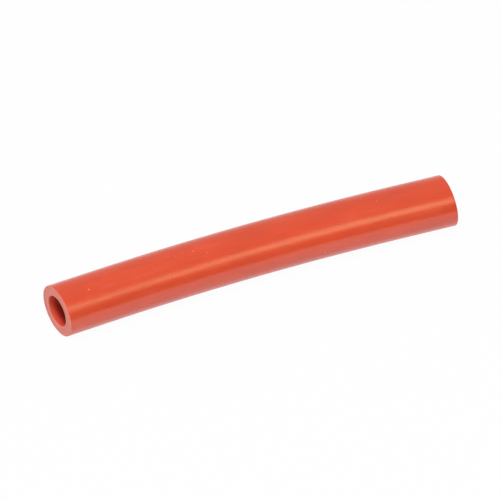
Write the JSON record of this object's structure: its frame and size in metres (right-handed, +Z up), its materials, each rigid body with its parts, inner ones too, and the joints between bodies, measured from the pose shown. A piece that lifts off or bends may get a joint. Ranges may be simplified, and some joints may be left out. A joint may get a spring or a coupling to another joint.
{
  "type": "silicone rubber tube",
  "caption": "Short, gently curved length of thick-walled orange-red silicone rubber tube that joins two spigots and carries liquid or air between them.",
  "frame": {"origin": "bottom centre of the bounding box, on the surface that the tube lies on", "axes": "+X along the tube's chord from the near end to the far end, +Y across it on the convex side of the curve, +Z up"},
  "size_m": [0.081, 0.0116, 0.01],
  "materials": {
    "silicone": "satin orange-red silicone rubber, matt and paler on the two cut faces"
  },
  "bodies": {
    "root": {"tube": "silicone"}
  },
  "joints": []
}
